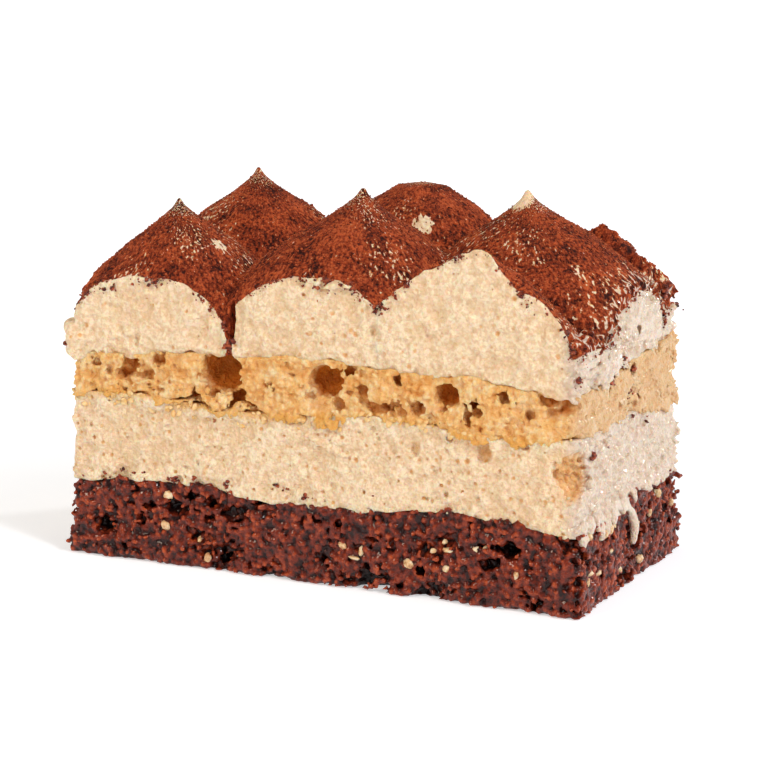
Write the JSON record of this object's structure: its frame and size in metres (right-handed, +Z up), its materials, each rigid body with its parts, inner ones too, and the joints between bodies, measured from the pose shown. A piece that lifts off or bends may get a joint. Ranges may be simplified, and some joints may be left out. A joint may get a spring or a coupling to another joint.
{
  "type": "tiramisu portion",
  "caption": "Rectangular cut portion of tiramisu: dark chocolate sponge, mascarpone cream, light soaked sponge and cocoa-dusted piped cream kisses.",
  "frame": {"origin": "middle of the flat foot, under the middle of the bounding box", "axes": "+Z up, +X along the long cut side from left to right, +Y towards the back; the long cut side faces -Y"},
  "size_m": [0.1026, 0.0532, 0.0684],
  "materials": {
    "chocolate_sponge": "moist dark chocolate sponge, open crumb",
    "mascarpone_cream": "smooth set mascarpone cream with pin bubbles, cut by a knife",
    "light_sponge": "golden sponge with an open crumb, soaked at its lower face",
    "dusted_cream": "piped mascarpone cream, dusted with dry cocoa powder, bare where it is cut"
  },
  "bodies": {
    "root": {"chocolate_sponge": "chocolate_sponge", "lower_cream": "mascarpone_cream", "light_sponge": "light_sponge", "kiss_front_left": "dusted_cream", "kiss_front_middle": "dusted_cream", "kiss_front_right": "dusted_cream", "kiss_middle_right": "dusted_cream", "kiss_back_left": "dusted_cream", "kiss_back_middle": "dusted_cream", "kiss_back_right": "dusted_cream"}
  },
  "joints": []
}
